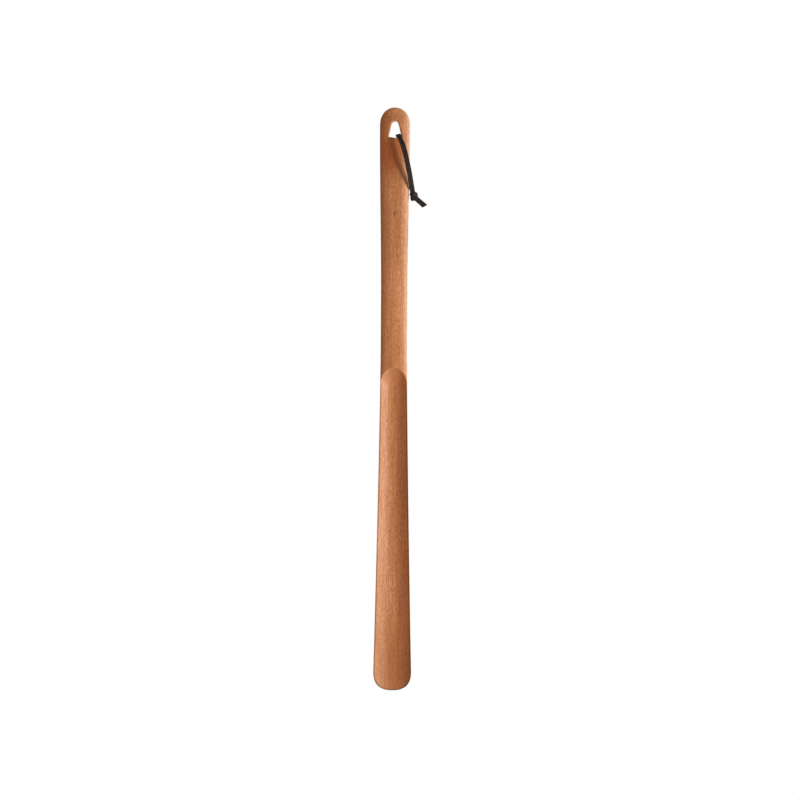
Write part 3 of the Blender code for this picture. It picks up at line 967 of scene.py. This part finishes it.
def beech_facing(n, colour, height, tip):
    """Tints by the way a face looks, in the object's frame: painted light, shade and sheen, the
    cut's and the end grain's tones, and the rim's painted shade.
    """
    facing = n.axes(n.add("ShaderNodeTexCoord").outputs["Normal"])
    # painted shade: redder where a face looks left
    colour = n.tint(n.band(facing["X"], *LEFT_SHADE_BAND, 1.0, 0.0), colour, LEFT_SHADE_TINT)
    # painted light: paler where a face looks right
    colour = n.tint(n.band(facing["X"], *RIGHT_LIGHT_BAND), colour, RIGHT_LIGHT_TINT)
    # painted sheen on the handle's right edge
    edge = n.times(n.band(height, *EDGE_SHEEN_HEIGHTS), n.band(facing["X"], *EDGE_SHEEN_BAND))
    colour = n.tint(edge, colour, EDGE_SHEEN_TINT)
    steep = n.math("ABSOLUTE", facing["Z"])
    # partly the cut's paler tone, partly painted light on faces that tilt up or down
    colour = n.tint(n.band(steep, *CUT_TONE_AND_LIGHT_BAND), colour, CUT_TONE_AND_LIGHT_TINT)
    colour = n.tint(n.times(tip, n.band(steep, *END_BAND)), colour, END_TINT)
    # painted shade on the blade's thin rim
    rim = n.add("ShaderNodeAttribute", attribute_name=RIM_SHADE_LAYER).outputs["Fac"]
    return n.tint(rim, colour, RIM_SHADE_TINT)


def make_beech():
    n = Nodes("beech_oiled")
    place = n.axes(n.place((1.0, 1.0, 1.0)))
    across, height = place["X"], place["Z"]
    tip = n.band(height, *TIP_HEIGHTS, 1.0, 0.0)
    streak = n.noise(n.place(STREAK_PACE), detail=4.0, roughness=0.6)
    pores = n.band(n.noise(n.place(PORE_PACE, PORE_PLACE), detail=1.0), *PORE_BAND)
    colour = beech_figure(n, height, streak, pores)
    colour = beech_wear_and_painted_light(n, colour, across, height, tip)
    colour = beech_facing(n, colour, height, tip)
    n.link(colour, n.shader.inputs["Base Color"])
    n.link(n.band(streak, *NOISE_SPAN, *BEECH_ROUGHNESS), n.shader.inputs["Roughness"])
    n.shader.inputs["Specular IOR Level"].default_value = BEECH_SPECULAR
    relief = n.math("SUBTRACT", streak, n.times(pores, PORE_SINK))
    bumped = n.bump(relief, BEECH_RELIEF, BEECH_RELIEF_SHARE)
    n.link(bumped, n.shader.inputs["Normal"])
    return n.material


def make_leather(name, dark, light, relief):
    n = Nodes(name)
    grain = n.add("ShaderNodeTexVoronoi", feature="DISTANCE_TO_EDGE")
    grain.inputs["Scale"].default_value = 1.0
    n.link(n.place((CREASE_PACE,) * 3), grain.inputs["Vector"])
    raised = n.band(grain.outputs["Distance"], *CREASE_BAND)
    mottle = n.noise(n.place((MOTTLE_PACE,) * 3), detail=4.0, roughness=0.6)
    fibre = n.noise(n.place((FIBRE_PACE,) * 3))
    frayed = n.band(n.noise(n.place((FRAY_PACE,) * 3, FRAY_PLACE), detail=1.0), *FRAY_BAND)
    colour = n.ramp(mottle, tuple(zip(LEATHER_STOPS, (dark, light))))
    creased = n.times(n.math("SUBTRACT", 1.0, raised), CREASE_SHARE)
    colour = n.paint(creased, colour, CREASE_COLOUR)
    colour = n.paint(n.times(frayed, FRAY_SHARE), colour, FRAY_COLOUR)
    n.link(colour, n.shader.inputs["Base Color"])
    n.link(n.band(mottle, *NOISE_SPAN, *LEATHER_ROUGHNESS), n.shader.inputs["Roughness"])
    n.shader.inputs["Specular IOR Level"].default_value = LEATHER_SPECULAR
    height = n.math("ADD", raised, n.times(fibre, FIBRE_SHARE))
    n.link(n.bump(height, relief, LEATHER_RELIEF_SHARE), n.shader.inputs["Normal"])
    return n.material


def make_floor_material():
    n = Nodes("pale_floor")
    speckle = n.noise(n.place((FLOOR_PACE,) * 3), detail=3.0)
    n.link(n.ramp(speckle, FLOOR_RAMP), n.shader.inputs["Base Color"])
    n.shader.inputs["Roughness"].default_value = FLOOR_ROUGHNESS
    return n.material


# ---------------------------------------------------------------- stage


def make_camera():
    data = bpy.data.cameras.new("camera")
    data.lens = LENS
    data.sensor_width = SENSOR
    camera = add_object("camera", data)
    distance = FRAME_WIDTH * LENS / SENSOR
    camera.matrix_world = (
        Matrix.Translation((AIM[0], AIM[1] - distance, AIM[2]))
        @ Matrix.Rotation(math.radians(90.0), 4, "X")
        @ Matrix.Rotation(ROLL, 4, "Z")
    )
    bpy.context.scene.camera = camera


def make_world():
    """A white world that the camera and reflections see, and that lights things only a little."""
    world = bpy.data.worlds.new("studio")
    bpy.context.scene.world = world
    world.use_nodes = True
    tree = world.node_tree
    background = tree.nodes["Background"]
    rays = tree.nodes.new("ShaderNodeLightPath")
    seen = rays.outputs["Is Camera Ray"]
    for kind in ("Is Glossy Ray", "Is Transmission Ray"):
        either = tree.nodes.new("ShaderNodeMath")
        either.operation = "MAXIMUM"
        tree.links.new(seen, either.inputs[0])
        tree.links.new(rays.outputs[kind], either.inputs[1])
        seen = either.outputs[0]
    strength = tree.nodes.new("ShaderNodeMapRange")
    strength.inputs["To Min"].default_value = WORLD_FILL
    strength.inputs["To Max"].default_value = 1.0
    tree.links.new(seen, strength.inputs["Value"])
    background.inputs["Color"].default_value = (1.0, 1.0, 1.0, 1.0)
    tree.links.new(strength.outputs["Result"], background.inputs["Strength"])


def add_softbox(name, azimuth, distance, height, size, watts):
    """A soft lamp that faces the object, from the camera's side at azimuth 0 or its right at 90."""
    data = bpy.data.lights.new(name, "AREA")
    data.shape = "RECTANGLE"
    data.size, data.size_y = size
    data.energy = watts
    lamp = add_object(name, data)
    turn = math.radians(azimuth)
    lamp.location = (distance * math.sin(turn), -distance * math.cos(turn), height)
    lamp.rotation_euler = (math.radians(90.0), 0.0, turn)


def make_floor(material):
    bm = bmesh.new()
    bm.faces.new([bm.verts.new((x, y, FLOOR_HEIGHT)) for x, y in FLOOR_CORNERS])
    floor = add_object("floor", finish_mesh(bm, "floor"), material)


# ---------------------------------------------------------------- the scene

make_camera()
make_world()
for lamp in LAMPS:
    add_softbox(*lamp)
make_floor(make_floor_material())
bpy.context.scene.view_settings.view_transform = "Standard"

beech = make_beech()
leather = make_leather("leather_dark", *LEATHER_FACE)
cut_leather = make_leather("leather_cut_edge", *LEATHER_EDGE)
laces = (leather, cut_leather)

loop_line = loop_route()
loop = make_lace(
    "thong_loop_lace",
    loop_line,
    across=LOOP_ACROSS,
    seed=LOOP_SEED,
    turn=loop_twist,
    width=loop_width,
    slant=0.0,
    materials=laces,
)
tails = [make_tail(name, side, seed, laces) for name, side, seed in TAILS]
knot = make_knot(leather)

wood = make_wood(beech)
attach(wood, "shoehorn")
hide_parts("shoehorn_body")
for piece, node in (
    (loop, "thong_loop"),
    (knot, "thong_knot"),
    (tails[0], "thong_tail_front"),
    (tails[1], "thong_tail_rear"),
):
    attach(piece, "thong")
    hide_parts(node)
